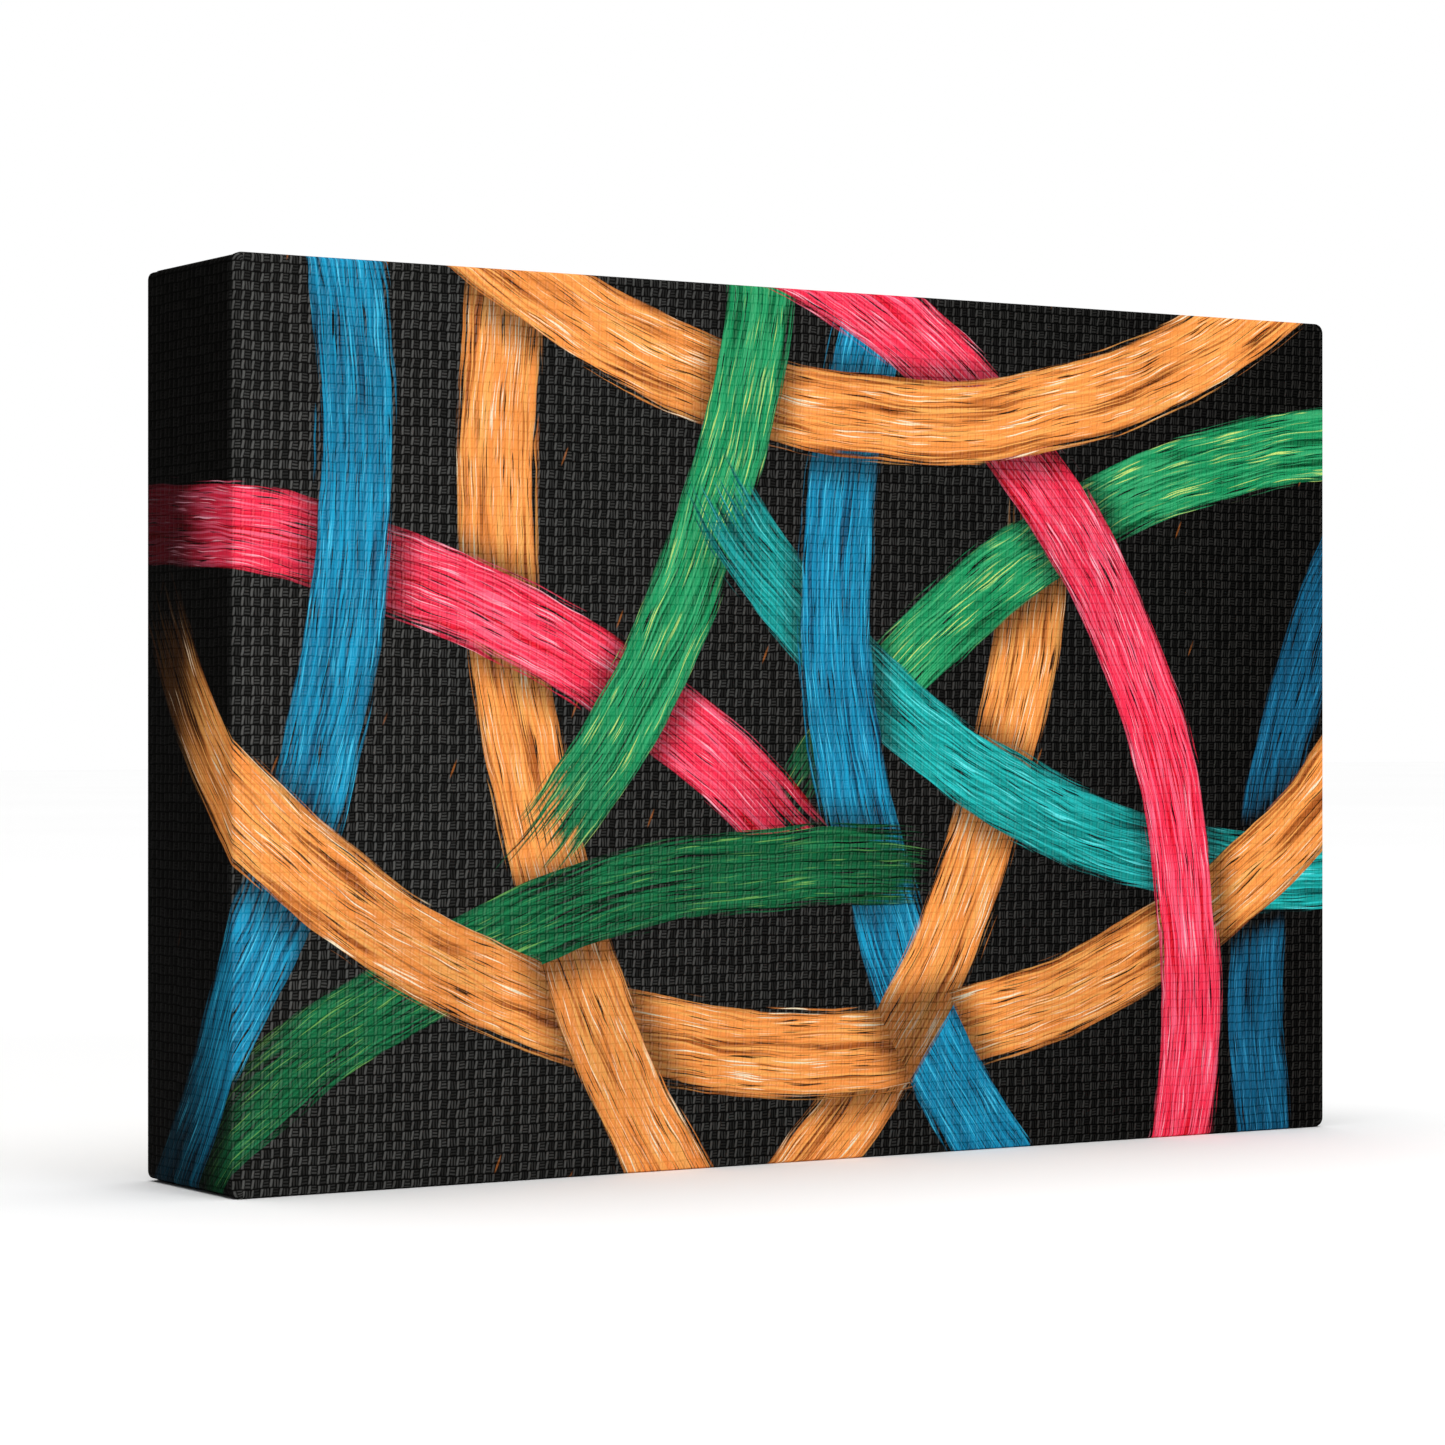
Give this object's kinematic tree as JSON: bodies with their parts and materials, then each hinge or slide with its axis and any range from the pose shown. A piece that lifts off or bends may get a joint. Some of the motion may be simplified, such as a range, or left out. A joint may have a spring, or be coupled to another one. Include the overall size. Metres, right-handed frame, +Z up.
{
  "type": "stretched canvas",
  "caption": "Landscape gallery-wrapped canvas print on interlocking wooden stretcher bars, with tensioning keys, a sawtooth hanger and wall bumpers.",
  "frame": {"origin": "middle of the footprint, on the plane of the lower edge", "axes": "+X along the width, +Y from the printed face towards the wall, +Z up"},
  "size_m": [0.2296, 0.0366, 0.1535],
  "materials": {
    "printed_canvas": "satin printed canvas, white cotton on the reverse",
    "pine": "bare planed pine",
    "key_beech": "bare sawn beech",
    "staple_wire": "galvanised",
    "hanger_steel": "brass-plated steel",
    "nail_steel": "brassed steel",
    "bumper_rubber": "matt"
  },
  "bodies": {
    "frame": {"canvas": "printed_canvas", "stretcher_bar_top": "pine", "stretcher_bar_right": "pine", "stretcher_bar_bottom": "pine", "stretcher_bar_left": "pine", "staples_top": "staple_wire", "staples_bottom": "staple_wire", "staples_left": "staple_wire", "staples_right": "staple_wire", "staples_corners": "staple_wire", "sawtooth_hanger": "hanger_steel", "hanger_nail_left": "nail_steel", "hanger_nail_right": "nail_steel", "wall_bumper_left": "bumper_rubber", "wall_bumper_right": "bumper_rubber"},
    "key_top_bar_left": {"key_top_bar_left": "key_beech"},
    "key_top_bar_right": {"key_top_bar_right": "key_beech"},
    "key_right_bar_top": {"key_right_bar_top": "key_beech"},
    "key_right_bar_bottom": {"key_right_bar_bottom": "key_beech"},
    "key_bottom_bar_right": {"key_bottom_bar_right": "key_beech"},
    "key_bottom_bar_left": {"key_bottom_bar_left": "key_beech"},
    "key_left_bar_bottom": {"key_left_bar_bottom": "key_beech"},
    "key_left_bar_top": {"key_left_bar_top": "key_beech"}
  },
  "joints": [
    {"name": "key_top_bar_left_slide", "type": "slide", "parent": "frame", "child": "key_top_bar_left", "axis": [0, 0, -1], "range_m": [-0.0012, 0.02]},
    {"name": "key_top_bar_right_slide", "type": "slide", "parent": "frame", "child": "key_top_bar_right", "axis": [0, 0, -1], "range_m": [-0.0012, 0.02]},
    {"name": "key_right_bar_top_slide", "type": "slide", "parent": "frame", "child": "key_right_bar_top", "axis": [-1, 0, 0], "range_m": [-0.0012, 0.02]},
    {"name": "key_right_bar_bottom_slide", "type": "slide", "parent": "frame", "child": "key_right_bar_bottom", "axis": [-1, 0, 0], "range_m": [-0.0012, 0.02]},
    {"name": "key_bottom_bar_right_slide", "type": "slide", "parent": "frame", "child": "key_bottom_bar_right", "axis": [0, 0, 1], "range_m": [-0.0012, 0.02]},
    {"name": "key_bottom_bar_left_slide", "type": "slide", "parent": "frame", "child": "key_bottom_bar_left", "axis": [0, 0, 1], "range_m": [-0.0012, 0.02]},
    {"name": "key_left_bar_bottom_slide", "type": "slide", "parent": "frame", "child": "key_left_bar_bottom", "axis": [1, 0, 0], "range_m": [-0.0012, 0.02]},
    {"name": "key_left_bar_top_slide", "type": "slide", "parent": "frame", "child": "key_left_bar_top", "axis": [1, 0, 0], "range_m": [-0.0012, 0.02]}
  ]
}
